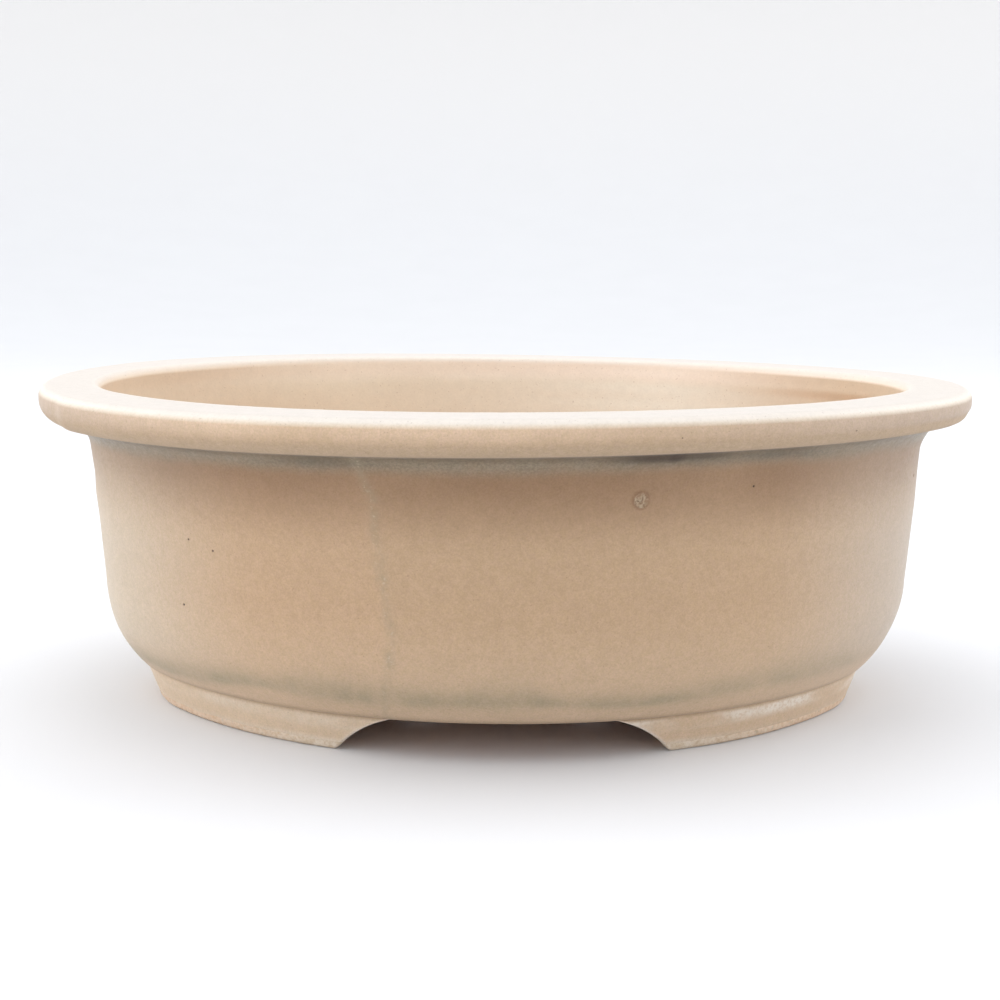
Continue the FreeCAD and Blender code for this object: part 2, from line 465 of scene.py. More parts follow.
def spot(share, z, half=wall_half):
    """The point of the outer face at a share of the girth and a height."""
    return place(np.array(share * GIRTH), half(z), np.array(z, float))


def pits():
    """Every pinhole and rim speck: (share, height, radius, the face it is in)."""
    found = [(*pit, wall_half) for pit in PINHOLES]
    return found + [(*pit, rim_half) for pit in RIM_SPECKS]


def lump_rows(path, spots):
    """Where fine rows are needed along a path, for (share, z, size, half) blemishes."""
    fine, travelled = spaced(path, 0.2)
    found = []
    for _, z, size, half in spots:
        gap = np.hypot(fine[:, 0] - half(z), fine[:, 1] - z)
        found.append((travelled[np.argmin(gap)], 1.8 * size, 0.55 * size))
    return found


def beside(share, along):
    """Signed distance of places along the girth from a share of it."""
    return (along - share * GIRTH + GIRTH / 2) % GIRTH - GIRTH / 2


def bell(distance, reach):
    """1 in the middle, falling away over reach to both sides."""
    return np.exp(-((distance / reach) ** 2))


class Coat:
    """The glaze over a grid of points: its relief and its colour masks."""

    def __init__(self, along, points, on_wall):
        self.along = along
        self.points = points
        self.z = points[..., 2]
        self.on_wall = on_wall
        self.relief = 0.03 * cloud(points, 5.0, 11) + 0.012 * noise(points, 1.7, 17)
        self.masks = {}

    def mark(self, name, by_row, by_point=1.0):
        """Keeps a mask that is worked out by row, scaled from point to point."""
        self.masks[name] = by_row[:, None] * (by_point * np.ones_like(self.z))

    def pools(self):
        """Thick slate-coloured glaze in the hollow under the rim, with a dark line of painted
        shade all round just under the rim, and dark runs and a black line that are partly pooled
        glaze and partly painted shade.
        """
        drip = 1.3 * cloud(self.points * np.array([1, 1, 0.15]), 16, 21)
        low = RIM_UNDER_Z - POOL_DEPTH + drip
        pool = smooth(low, low + POOL_FADE, self.z) * self.on_wall
        # painted shade: a dark line all round in the crease under the rim
        line = smooth(RIM_UNDER_Z - 2.8, RIM_UNDER_Z - 0.9, self.z)
        dark = line * (0.38 + 0.22 * cloud(self.points, 11, 25))
        edge = RIM_UNDER_Z - 5.0 + 0.5 * drip
        for share, reach, strength in DARK_POOLS:
            near = strength * bell(beside(share, self.along), reach)
            dark = np.maximum(dark, near * smooth(edge, edge + 3.0, self.z))
        seam_glaze_and_shade = 0
        for share, reach, strength in DARK_SEAMS:
            near = strength * bell(beside(share, self.along), reach)
            edge = RIM_UNDER_Z - 2.4 - 0.6 * near + 0.15 * drip
            seam_glaze_and_shade = np.maximum(seam_glaze_and_shade, near * smooth(edge, edge + 0.9, self.z))
        self.relief = self.relief + 0.25 * pool
        self.masks["pool"] = pool
        self.masks["dark"] = dark * self.on_wall
        self.masks["seam_glaze_and_shade"] = seam_glaze_and_shade * self.on_wall

    def tones(self):
        """Painted shade on the wall under the rim, painted light from the floor low down, and a
        painted pale sheen at the wall's ends.
        """
        # painted shade: the wall darkens towards the rim, whose overhang shades it
        painted_under_rim_shade = smooth(RIM_UNDER_Z - 26, RIM_UNDER_Z - 6, self.z) * self.on_wall
        self.masks["painted_under_rim_shade"] = painted_under_rim_shade * (0.8 + 0.2 * cloud(self.points, 22, 23))
        # painted light: the wall is paler low down, where the floor lights it
        self.masks["low"] = (1 - smooth(UNDERSIDE, 42, self.z)) * self.on_wall
        # painted sheen: the wall is paler and whiter towards its ends
        ends = smooth(58, 114, np.abs(self.points[..., 0]))
        fade = smooth(UNDERSIDE, 24, self.z) * (1 - 0.6 * smooth(46, 74, self.z))
        self.masks["ends"] = ends * self.on_wall * fade

    def low_band(self):
        """A soft grey-green band where the glaze slowed on the turned-in wall."""
        x = self.points[..., 0]
        plan = self.points * np.array([1, 1, 0])
        drift = 1.2 * smooth(20, 60, x) - 3.6 * smooth(*END_ZONE, -x)
        gap = self.z - (BAND_Z + drift + 1.4 * noise(plan, 34, 31))
        spread = BAND_SPREAD + 1.0 * noise(plan, 12, 33)
        band = np.where(gap > 0, bell(gap, 1.5 * spread), bell(gap, 0.8 * spread))
        streak = 0.7 + 0.45 * cloud(self.points * np.array([1, 1, 0.3]), 9, 35)
        right_end = beside(ARC_LENGTHS[0] / 2 / GIRTH, self.along)
        band = band * streak * (1 - 0.8 * bell(right_end, 62))
        self.masks["band"] = np.clip(band, 0, 1) * self.on_wall

    def overlaps(self):
        """Where a second dip of glaze ends: a faint step and a thin pale-flecked line."""
        heights = [z for _, z in OVERLAP][::-1]
        shares = [share for share, _ in OVERLAP][::-1]
        wander = 0.9 * noise(self.points, 4.0, 41) + 0.5 * noise(self.points, 1.6, 43)
        front = beside(0, self.along - GIRTH * np.interp(self.z, heights, shares)) + wander
        back = beside(BACK_OVERLAP, self.along) + 3 * wander
        second = smooth(-1.2, 1.2, front) * smooth(-1.5, 1.5, GIRTH * 0.5 - front)
        second = second * (front > -GIRTH / 4)
        line = bell(front, 1.3) + 0.5 * bell(back, 1.6)
        self.masks["second"] = second * self.on_wall
        self.masks["line"] = line * self.on_wall * (0.6 + 0.4 * noise(self.points, 2.2, 45))
        self.relief = self.relief + self.on_wall * (0.04 * second + 0.05 * line)

    def pinholes(self):
        """Pits with a slight lip round them and a dark bottom."""
        hole = np.zeros_like(self.z)
        for share, z, size, half in pits():
            far = np.linalg.norm(self.points - spot(share, z, half), axis=-1) / size
            self.relief = self.relief - 0.5 * size * np.exp(-(far**2) * 1.6)
            self.relief = self.relief + 0.09 * np.exp(-((far - 1.6) ** 2) * 3)
            hole = np.maximum(hole, 1 - smooth(0.5, 1.15, far))
        self.masks["hole"] = hole

    def crater(self):
        """A burst bubble with a crust in it, and a warm dark ring round it that is partly painted
        shade.
        """
        far = np.linalg.norm(self.points - spot(*CRATER), axis=-1)
        rough = noise(self.points, 0.7, 61) + 0.6 * noise(self.points, 0.35, 63)
        inside = 1 - smooth(1.3, 2.0, far + 0.3 * noise(self.points, 1.0, 65))
        ring = bell(far - CRATER_RADIUS, 0.45)
        dip = bell(far - CRATER_RADIUS - 1.4, 1.3)
        self.relief = self.relief + inside * (0.16 * rough - 0.10) + 0.20 * ring - 0.05 * dip
        self.masks["crust"] = inside * (0.55 + 0.45 * rough)
        self.masks["ring"] = ring


def glaze_rows():
    """The coat's outer outline, finely spaced, and how far along it each row is."""
    inner_end = (inner_point(GLAZE_INSIDE_Z), GLAZE_INSIDE_Z)
    path = np.concatenate([OUTER, [inner_end]])
    return spaced(path, ROW_STEP, lump_rows(path, [(*CRATER, 0.9, wall_half)] + pits()))


def glaze_columns():
    """Places round the girth, closer together at the crater and the pits."""
    lumps = [(CRATER[0] * GIRTH, 2.6, 0.3)]
    for share, _, size in PINHOLES + RIM_SPECKS:
        lumps.append((share * GIRTH, 2.2 * size, 0.5 * size))
    return gather(GIRTH, COLUMN_STEP, lumps)[:-1]


def thin_rows(rows):
    """How near each row is to an edge the glaze draws back from; the paleness there is partly a
    painted highlight.
    """
    tips = [(HALF, TOP, 2.4, 0.8), (MOUTH_HALF, TOP, 2.6, 0.7)]
    thin_glaze_and_highlight = np.zeros(len(rows))
    for half, z, reach, strength in tips:
        gap = np.hypot(rows[:, 0] - half, rows[:, 1] - z)
        thin_glaze_and_highlight = np.maximum(thin_glaze_and_highlight, strength * (1 - smooth(0.2 * reach, reach, gap)))
    return thin_glaze_and_highlight


def inside_shares(travelled):
    """How far each row is down the mouth's inside: 0 at the lip, 1 at the coat's end."""
    total = travelled[-1]
    lip = total - (TOP - LIP_ROUND - GLAZE_INSIDE_Z)
    return np.clip((travelled - lip) / (total - lip), 0, 1)


def ragged_shift(along, inside_share):
    """The coat's uneven end inside the mouth: how far each point slides down the wall."""
    edge, _ = columns(along)
    ragged = 2.2 * cloud(np.concatenate([edge, 0 * edge[:, :1]], -1), 14, 71)[:, None]
    down = np.array([inner_point(0) - inner_point(1), -1.0])
    return inside_share[:, None, None] * ragged * down


def mark_rim(coat, rows, up):
    """Masks of the rim's side and underside, its edges where the glaze draws back, and the crease
    over the feet; the side's ends, its lower part, the underside and the crease get painted
    shade, and the pale edges are partly a painted highlight.
    """
    x, z = coat.points[..., 0], rows[:, 1]
    on_rim = rows[:, 0] > HALF - 8
    # painted shade: the rim's side darkens towards both ends, more at the right
    shaded = np.where(x < 0, 0.7 * smooth(50, 125, -x), 0.9 * smooth(0, 125, x))
    coat.mark("painted_rim_end_shade", on_rim * (1 - smooth(0.3, 0.9, up)), shaded)
    # painted shade: the rim's side darkens towards its lower edge, less to the right
    under = (1 - smooth(RIM_UNDER_Z + 1, TOP - 2, z)) * on_rim
    coat.mark("under", under, 1 - 0.8 * smooth(30, 100, x))
    # painted shade where the rim's rounding faces down; the glaze is also rougher there
    coat.mark("below", smooth(0.2, 0.7, -up) * (rows[:, 0] > WALL_TOP + 6))
    # painted shade in the crease where the wall's base meets the feet
    coat.mark("crease", 1 - smooth(0.3, 1.5, z - UNDERSIDE))
    # pale edges: partly glaze drawn back from the edges, partly a painted highlight on the rim's
    # upper edges
    coat.mark("thin_glaze_and_highlight", thin_rows(rows), 1 + 0.25 * cloud(coat.points, 3.0, 51))


def mark_mouth(coat, rows, up, inside_share, inner_half):
    """Masks of the rim's top, the lip and the mouth's inside; the top's paleness is partly a
    painted highlight, the lip's strip gets painted light to the right, and the inside's ends get
    painted shade.
    """
    x = coat.points[..., 0]
    # a ramp from left to right that sets painted light from the left
    painted_light_ramp = smooth(-70, 90, x)
    inside = inside_share > 0
    # partly painted highlight: the up-facing top of the rim gets a paler, greyer tone
    top = smooth(0.2, 0.75, up)
    lip = smooth(79.5, 84, rows[:, 1]) * (rows[:, 0] < MOUTH_HALF + 1.6) * inner_half
    coat.masks["painted_light_ramp"] = painted_light_ramp
    coat.mark("top", top)
    # the pale strip is the glaze's own, made stronger to the right by painted light from the left
    coat.mark("lip", lip, 0.4 + 0.6 * painted_light_ramp)
    coat.mark("inside", np.clip(3 * inside_share, 0, 1))
    # painted shade: the mouth's inside darkens towards its ends
    coat.mark("painted_inner_end_shade", inside, smooth(45, 105, np.abs(x)) * np.where(x < 0, 0.95, 1.0))
    coat.mark("mouth", np.maximum(np.maximum(top, lip), inside))
    rings = noise(coat.points * np.array([0.06, 0.06, 1]), 2.6, 19)
    coat.relief = coat.relief + 0.07 * rings * inside[:, None]


def make_glaze(material):
    """The coat over the body, from under the base to a ragged end inside the mouth."""
    rows, travelled = glaze_rows()
    total = travelled[-1]
    along = glaze_columns()
    normals = section_normals(rows)
    inside_share = inside_shares(travelled)
    section = rows[:, None, :] + ragged_shift(along, inside_share)
    points = place(along, section[..., 0], section[..., 1])

    on_wall = (rows[:, 0] < HALF - RIM_LOW_ROUND) & (travelled < 0.62 * total)
    wide = np.broadcast_to(along, points.shape[:2])
    coat = Coat(wide, points, on_wall[:, None].astype(float))
    coat.mark("wall", on_wall)
    coat.pools()
    coat.tones()
    coat.low_band()
    coat.overlaps()
    coat.pinholes()
    coat.crater()
    mark_rim(coat, rows, normals[:, 1])
    mark_mouth(coat, rows, normals[:, 1], inside_share, travelled > 0.5 * total)

    feather = np.minimum(smooth(0, 1.2, travelled), smooth(0, 1.4, total - travelled))[:, None]
    height = coat.relief * feather - GLAZE * (1 - feather)
    outer = section + normals[:, None, :] * height[..., None]
    back = np.arange(0, len(rows), 3)[::-1]
    inner = section[back] - normals[back][:, None, :] * (GLAZE + 0.03)
    loop = np.concatenate([outer, inner])
    unmarked = np.zeros((len(back), len(along)))
    masks = {key: np.concatenate([value, unmarked]) for key, value in coat.masks.items()}
    points = settled(place(along, loop[..., 0], loop[..., 1]))
    grid_piece("glaze_coat_body", "glaze_coat", points, material, masks)


def keep_inside(points):
    """Hold every point within the box of the object."""
    low = np.array(cad_low) / MM
    high = np.array(cad_high) / MM
    return np.clip(points, low, high)


# ---------- clay body
def ring_piece(name, node, loop, material):
    """A clay ring: a closed section outline swept round the oval."""
    along = gather(GIRTH, RING_STEP)[:-1]
    section = loop[:, None, :] + np.zeros((1, len(along), 1))
    points = place(along, section[..., 0], section[..., 1])
    points = points + 0.05 * cloud(points, 9, 81)[..., None] * np.array([1, 1, 0.4])
    grid_piece(name, node, settled(points), material)


def clay_outline():
    """The outer outline with the glaze's thickness taken off."""
    return OUTER - section_normals(OUTER) * (GLAZE + 0.05)


def make_rim(material):
    outline = clay_outline()
    outline = outline[outline[:, 1] > JOINT_Z]
    first = (outline[0, 0], JOINT_Z)
    last = (inner_point(JOINT_Z) + GLAZE, JOINT_Z)
    loop = spaced(np.concatenate([[first], outline, [last], [first]]), 1.0)[0][:-1]
    ring_piece("rim_strip", "rim", loop, material)


def make_wall(material):
    outline = clay_outline()
    outer = outline[(outline[:, 1] < JOINT_Z) & (outline[:, 0] < WALL_TOP + 3)]
    curve = arc_through(INNER_WAIST, INNER_KNEE, INNER_BASE, 24)
    inner = [(inner_point(JOINT_Z) + GLAZE, JOINT_Z)]
    inner += [(x + GLAZE, z) for x, z in curve]
    inner += [(FLOOR_HALF - 1.6, FLOOR_TOP + 0.15), (FLOOR_HALF, FLOOR_TOP - 0.5)]
    inner += [(FLOOR_HALF, UNDERSIDE), (WALL_BASE - LAP, UNDERSIDE)]
    loop = spaced(np.concatenate([outer, inner, outer[:1]]), 1.5)[0][:-1]
    ring_piece("wall_body", "wall", loop, material)


def oval_outline(half_length):
    """Plan points of the oval of that half length."""
    along = gather(GIRTH, RING_STEP)[:-1]
    return place(along, half_length, np.zeros_like(along))[:, :2]


def hole_outline(x, y, radius, count):
    """A hole cut by hand, not quite round."""
    angles = np.linspace(0, 2 * math.pi, count, endpoint=False)
    reach = radius * (1 + 0.012 * np.sin(3 * angles + x) + 0.01 * np.sin(2 * angles + y))
    return np.stack([x + reach * np.cos(angles), y + reach * np.sin(angles)], -1)


def floor_outlines():
    """The slab's outline, and its drainage and tie wire holes."""
    outlines = [oval_outline(FLOOR_HALF + 1.5)]
    for side in (-1, 1):
        outlines.append(hole_outline(side * DRAIN_X, 0, DRAIN_RADIUS, 64))
        for end in (-1, 1):
            x, y = side * WIRES["spacing_x_mm"] / 2, end * WIRES["spacing_y_mm"] / 2
            outlines.append(hole_outline(x, y, WIRES["hole_r_mm"], 32))
    return outlines


def floor_pattern():
    """The slab with its holes, sharp-edged and centred on height 0."""
    curve = bpy.data.curves.new("floor_outline", "CURVE")
    curve.dimensions = "2D"
    curve.fill_mode = "BOTH"
    curve.extrude = (FLOOR_TOP - UNDERSIDE) / 2 * MM
    for outline in floor_outlines():
        spline = curve.splines.new("POLY")
        spline.points.add(len(outline) - 1)
        flat = np.zeros((len(outline), 4))
        flat[:, :2] = outline * MM
        flat[:, 3] = 1
        spline.points.foreach_set("co", flat.ravel())
        spline.use_cyclic_u = True
    pattern = add_object("floor_pattern", curve)
    plate = add_object("floor_slab", bpy.data.meshes.new_from_object(pattern))
    bpy.data.objects.remove(pattern)
    return plate


def soften_edges(plate):
    """Rounds a slab's cut edges, as wet clay is smoothed by hand."""
    weld = plate.modifiers.new("weld", "WELD")
    weld.merge_threshold = 0.01 * MM
    remesh = plate.modifiers.new("even", "REMESH")
    remesh.mode = "VOXEL"
    remesh.voxel_size = 0.9 * MM
    soften = plate.modifiers.new("soften", "SMOOTH")
    soften.factor = 0.5
    soften.iterations = 5
    graph = bpy.context.evaluated_depsgraph_get()
    mesh = bpy.data.meshes.new_from_object(plate.evaluated_get(graph))
    plate.modifiers.clear()
    plate.data = mesh


def make_floor(material):
    """The bottom slab with hand-cut holes and a slightly uneven top."""
    plate = floor_pattern()
    soften_edges(plate)
    mesh = plate.data
    points = np.zeros(len(mesh.vertices) * 3)
    mesh.vertices.foreach_get("co", points)
    points = points.reshape(-1, 3) / MM
    middle = (FLOOR_TOP + UNDERSIDE) / 2
    points[:, 2] += middle - SLAB_UNEVEN * (1 + cloud(points * np.array([1, 1, 0]), 26, 91))
    upper = points[:, 2] > middle
    points[upper, 2] -= SLAB_UNEVEN * (1 + noise(points[upper] * np.array([1, 1, 0]), 9, 93))
    mesh.vertices.foreach_set("co", (points * MM).ravel())
    shade_smooth(mesh)
    finish_piece(plate, "floor", material)


# ---------- feet
GAP_CENTRE_Z = GAP_APEX - GAP_RADIUS
GAP_CENTRE_X = GAP_HALF - math.sqrt(GAP_RADIUS**2 - GAP_CENTRE_Z**2)
FOOT_INNER = FOOT_TOP - FOOT_THICK
FOOT_LENGTH = ARC_LENGTHS[0] + 150  # roughly, along the girth
EDGE_ROUND = 1.5  # worn edges at the feet's ends
LEFT_TRIM = 1.0  # the left foot is cut back this much more
FOOT_SET_IN = 0.3  # from the wall's base
SHOULDER = 0.45  # the top edge is rounded off by this much
SHOULDER_FALL = 1.6  # over this height


def foot_outer(z):
    """The foot's outer face: almost flush with the wall, its top edge rounded."""
    face = FOOT_BASE + (WALL_BASE - FOOT_SET_IN - FOOT_BASE) * z / UNDERSIDE
    return face - SHOULDER * smooth(UNDERSIDE - SHOULDER_FALL, UNDERSIDE, z) ** 2


def foot_place(side, share, half_length, z):
    """Points on a foot: share runs from its front end, 0, round to its back end, 1."""
    opening = GAP_CENTRE_X + np.sqrt(GAP_RADIUS**2 - (z - GAP_CENTRE_Z) ** 2)
    opening = opening + (LEFT_TRIM if side < 0 else 0)
    reach = SIDE_RADIUS + half_length - HALF
    beyond = (np.arccos(opening / reach) - TURN) * (SIDE_RADIUS - MID)
    along = share * (ARC_LENGTHS[0] + 2 * beyond) - beyond
    points = place(along, half_length, z)
    _, outward = columns(np.broadcast_to(along, points.shape[:-1]))
    spread = (1.3 - 2.3 * outward[..., :1] ** 2) * (1 - z / UNDERSIDE)[..., None]
    points[..., :2] += outward * spread
    return points * np.array([side, 1, 1])


def foot_shares():
    """Shares along a foot, close together at both ends, and how far its edges are worn."""
    start = EDGE_ROUND * (1 - np.cos(np.linspace(0, math.pi / 2, 7)))
    near = np.concatenate([start, EDGE_ROUND + np.array([0.5, 1.2, 2.2, 3.4])]) / FOOT_LENGTH
    body = np.linspace(near[-1], 1 - near[-1], int(FOOT_LENGTH / 1.2))
    shares = np.concatenate([near, body[1:-1], 1 - near[::-1]])
    from_end = np.minimum(shares, 1 - shares) * FOOT_LENGTH
    gap = np.clip(EDGE_ROUND - from_end, 0, EDGE_ROUND)
    return shares, from_end, EDGE_ROUND - np.sqrt(EDGE_ROUND**2 - gap**2)


def foot_hollows(points, seed):
    """How far finger marks press the foot's outer face in."""
    return 0.18 * (1 + cloud(points, 15, seed)) + 0.05 * (1 + cloud(points, 3.0, seed + 7))


def foot_half_section():
    """(distance from the foot's middle, height) from its top to the middle of its base."""
    top = ((FOOT_TOP - FOOT_INNER) / 2, UNDERSIDE)
    tip = ((FOOT_BASE - FOOT_INNER) / 2, 0.0)
    path = np.concatenate([[top], rounded(top, tip, (0, 0), FOOT_ROUND), [(0, 0)]])
    return spaced(path, 0.55, [(UNDERSIDE, 1.2, 0.2)])[0]


def make_foot(side, node, material):
    """A foot: a strip of clay bent round the pot's end, hollow-cut at both ends."""
    half = foot_half_section()
    loop = np.concatenate([half, half[::-1][1:] * np.array([-1, 1])])
    shares, from_end, worn = foot_shares()
    caps = np.linspace(0, 1, 5)[:-1]
    none = np.zeros_like(caps)
    narrow = np.concatenate([caps, np.ones_like(shares), caps[::-1]])
    worn = np.concatenate([none + worn[0], worn, none + worn[-1]])
    from_end = np.concatenate([none, from_end, none])
    shares = np.concatenate([none, shares, none + 1])

    off = loop[:, :1]
    z = np.maximum(loop[:, 1:], worn)
    apart = np.clip(np.abs(off) - worn, 0, None) * narrow
    middle = (foot_outer(z) + FOOT_INNER) / 2
    face = middle + np.sign(off) * apart
    flat = foot_place(side, shares, face, z)
    glazed = GLAZE * smooth(WIPED_Z + 0.3, WIPED_Z + 1.3, z)
    pressed = (foot_hollows(flat, 101 + side) + glazed) * (off > 0) * narrow
    points = foot_place(side, shares, face - pressed, z)

    low = 1 - smooth(3.4, 4.8, flat[..., 2] + 0.5 * cloud(flat, 5, 111))
    low = low * (off > 0) * (0.75 + 0.25 * bell(from_end, 30))
    arris = (1 - smooth(0.5, 1.7, from_end)) * smooth(3.2, 4.6, off * narrow)
    masks = {"wiped": np.maximum(low, 0.9 * arris)}
    grid_piece(node + "_strip", node, points, material, masks, False)


def foot_glaze_masks(side, flat, z, lift, from_end):
    """Masks of a foot's glaze; lift is the height above its lower edge."""
    right = side > 0
    streak = smooth(-0.5, 0.4, cloud(flat * np.array([0.4, 0.4, 1.6]), 6, 141))
    patches = smooth(0.1, 0.5, cloud(flat, 9, 143)) * (1 - smooth(1.5, 4.5, z))
    arris = 1 - smooth(0.4, 2.6, from_end)
    lowest_band = 1 - smooth(0.3, 1.9, lift)
    thin_glaze_and_highlight = np.maximum(0.6 * np.maximum(lowest_band, patches), arris)
    near_gap = 0.3 + 0.7 * bell(from_end, 20 if right else 40)
    return {
        "wall": np.ones_like(z),
        # the same painted floor light over the whole foot
        "low": np.ones_like(z),
        "foot": np.full_like(z, 0.2 if right else 0.8),
        "thin_glaze_and_highlight": thin_glaze_and_highlight * np.maximum(near_gap, arris),
        "streak": streak * span(z, 4.8, 7.2, 8.4, 9.4) * (1.0 if right else 0.4),
        # painted shade in the crease under the wall's base
        "crease": smooth(UNDERSIDE - 1.3, UNDERSIDE - 0.2, z),
    }


def make_foot_glaze(side, name, material):
    """The glaze on a foot's outer face, wiped off unevenly along the bottom."""
    shares, from_end, worn = foot_shares()
    steps = np.linspace(0, 1, 22)[:, None]
    base = foot_place(side, shares, foot_outer(WIPED_Z), WIPED_Z + 0 * shares)
    lowest = WIPED_Z + 0.2 * (1 + cloud(base, 9, 121)) + 0.1 * noise(base, 2.2, 123)
    z = UNDERSIDE - steps * (UNDERSIDE - lowest)
    lift = z - lowest
    face = foot_outer(z) - worn
    flat = foot_place(side, shares, face, z)
    face = face - foot_hollows(flat, 101 + side)
    relief = 0.05 * cloud(flat, 4.0, 131) - 0.05
    feather = smooth(0, 0.5, lift) * smooth(0, 1.0, from_end)
    outside = face + relief * feather - GLAZE * (1 - feather)
    inside = face - GLAZE - 0.05
    loop = np.concatenate([outside, inside[::-1]])
    heights = np.concatenate([z, z[::-1]])
    points = foot_place(side, shares, loop, heights)

    masks = foot_glaze_masks(side, flat, z, lift, from_end)
    masks = {key: np.concatenate([value, 0 * value]) for key, value in masks.items()}
    grid_piece(name, "glaze_coat", points, material, masks, False)


# ---------- materials
def colour(red, green, blue):
    """A linear colour from the usual 0 to 255 values."""
    def linear(value):
        value = value / 255
        return value / 12.92 if value <= 0.04045 else ((value + 0.055) / 1.055) ** 2.4
    return (linear(red), linear(green), linear(blue), 1.0)


class Shader:
    """Short calls for building a node material; lengths in millimetres."""

    def __init__(self, name):
        self.material = bpy.data.materials.new(name)
        self.material.use_nodes = True
        self.tree = self.material.node_tree
        self.tree.nodes.clear()
        self.surface = self.node("ShaderNodeBsdfPrincipled")
        self.node("ShaderNodeOutputMaterial", {"Surface": self.surface.outputs[0]})
        self.place = self.node("ShaderNodeTexCoord").outputs["Object"]

    def node(self, kind, inputs=None, **settings):
        """Makes a node; inputs gives its sockets a value or another node's output."""
        made = self.tree.nodes.new(kind)
        for key, value in settings.items():
            setattr(made, key, value)
        self.fill(made, inputs or {})
        return made

    def fill(self, node, inputs):
        for key, value in inputs.items():
            if isinstance(value, bpy.types.NodeSocket):
                self.tree.links.new(value, node.inputs[key])
            else:
                node.inputs[key].default_value = value

    def finish(self, inputs):
        """Fills the surface's sockets and hands the material over."""
        self.fill(self.surface, inputs)
        return self.material

    def mask(self, name):
        """A mask kept on the mesh's points."""
        return self.node("ShaderNodeAttribute", attribute_name=name).outputs["Fac"]

    def noise(self, size, detail=2.0, roughness=0.5):
        """Noise with lumps of a size."""
        return self.node("ShaderNodeTexNoise", {
            "Vector": self.place,
            "Scale": 1 / (size * MM),
            "Detail": detail,
            "Roughness": roughness,
        }).outputs["Fac"]

    def ramp(self, value, low, high, start=0.0, end=1.0):
        """start where value is below low, end where it is above high."""
        return self.node("ShaderNodeMapRange", {
            "Value": value,
            "From Min": low,
            "From Max": high,
            "To Min": start,
            "To Max": end,
        }, interpolation_type="SMOOTHSTEP").outputs["Result"]

    def times(self, a, b):
        return self.node("ShaderNodeMath", {0: a, 1: b}, operation="MULTIPLY").outputs[0]

    def plus(self, a, b):
        return self.node("ShaderNodeMath", {0: a, 1: b}, operation="ADD").outputs[0]

    def mix(self, a, b, share, blend="MIX"):
        inputs = {"Factor": share, 6: a, 7: b}
        made = self.node("ShaderNodeMix", data_type="RGBA", blend_type=blend, inputs=inputs)
        return made.outputs[2]

    def patchy(self, size, roughness, least):
        """Uneven strength, from least to 1, in patches of a size."""
        return self.ramp(self.noise(size, 3, roughness), 0.3, 0.6, least, 1)

    def tinted(self, tint, towards, mask, strength=1.0, uneven=None):
        """Mixes a colour of 0 to 255 values in where a mask is."""
        share = self.mask(mask)
        if uneven is not None:
            share = self.times(share, uneven)
        if strength < 1:
            share = self.times(share, strength)
        return self.mix(tint, colour(*towards), share)

    def bump(self, height, depth):
        return self.node("ShaderNodeBump", {"Height": height, "Distance": depth * MM}).outputs[0]


WHITE = (1, 1, 1, 1)


def grained(shader, tint, size, amount):
    """Lightens and darkens a colour by fine grain."""
    grain = shader.ramp(shader.noise(size, 3, 0.6), 0.25, 0.75)
    dark = tuple([1 - amount] * 3 + [1])
    light = tuple([1 + amount] * 3 + [1])
    shade = shader.mix(dark, light, grain)
    return shader.mix(tint, shade, 1.0, "MULTIPLY")


def specked(shader, tint, speck, size, rarity, strength):
    """Scatters small specks; rarity nearer 1 leaves fewer."""
    spots = shader.ramp(shader.noise(size, 0), rarity, rarity + 0.05, 0, strength)
    return shader.mix(tint, speck, spots)


# (colour, mask, strength), laid over each other in this order
WALL_TONES = [
    ((190, 158, 127), "wall", 0.9),
    ((187, 158, 128), "second", 0.6),
    # painted light from the floor, low on the wall and over the feet
    ((206, 180, 154), "low", 0.8),
    # painted shade on the rim's side at its ends
    ((176, 156, 140), "painted_rim_end_shade", 1.0),
    # painted shade low on the rim's side
    ((170, 142, 110), "under", 0.7),
    # painted shade where the rim faces down
    ((183, 160, 136), "below", 0.9),
    # painted shade on the wall under the rim's overhang
    ((135, 101, 73), "painted_under_rim_shade", 0.85),
]
POOL_TONES = [
    # dark runs under the rim: partly pooled glaze, partly painted shade
    ((72, 66, 54), "dark", 0.8),
    # black line under the rim: partly dark glaze, partly painted shade
    ((58, 46, 42), "seam_glaze_and_shade", 0.85),
    # painted shade in the crease over the feet
    ((150, 124, 96), "crease", 0.4),
]
MOUTH_TONES = [
    # pale strip under the lip, stronger to the right by painted light
    ((252, 246, 234), "lip", 0.9),
    # painted shade at the ends of the mouth's inside
    ((207, 191, 166), "painted_inner_end_shade", 1.0),
    # the rim's top: partly the glaze's own paler tone, partly a painted highlight
    ((215, 208, 201), "top", 1.0),
]


def toned(shader, tint, tones):
    for towards, mask, strength in tones:
        tint = shader.tinted(tint, towards, mask, strength)
    return tint


def wall_tint(shader, painted_light_ramp):
    """The glaze's colour on the wall, the rim's side and the feet, without the pools; it holds
    painted shade under the rim and on the rim's side, and painted light low down and at the
    wall's ends.
    """
    pink, olive = colour(214, 186, 160), colour(206, 178, 151)
    tint = shader.mix(pink, olive, shader.ramp(shader.noise(38, 2), 0.35, 0.65))
    tint = toned(shader, tint, WALL_TONES)
    # painted sheen at the wall's ends, paler at the left end, where the light comes from
    ends = shader.mix(colour(204, 196, 182), colour(188, 181, 174), painted_light_ramp)
    tint = shader.mix(tint, ends, shader.times(shader.mask("ends"), 0.6))
    tint = shader.tinted(tint, (222, 202, 178), "foot", 0.5)
    return shader.tinted(tint, (152, 142, 118), "band", 0.85, shader.patchy(7, 0.6, 0.6))


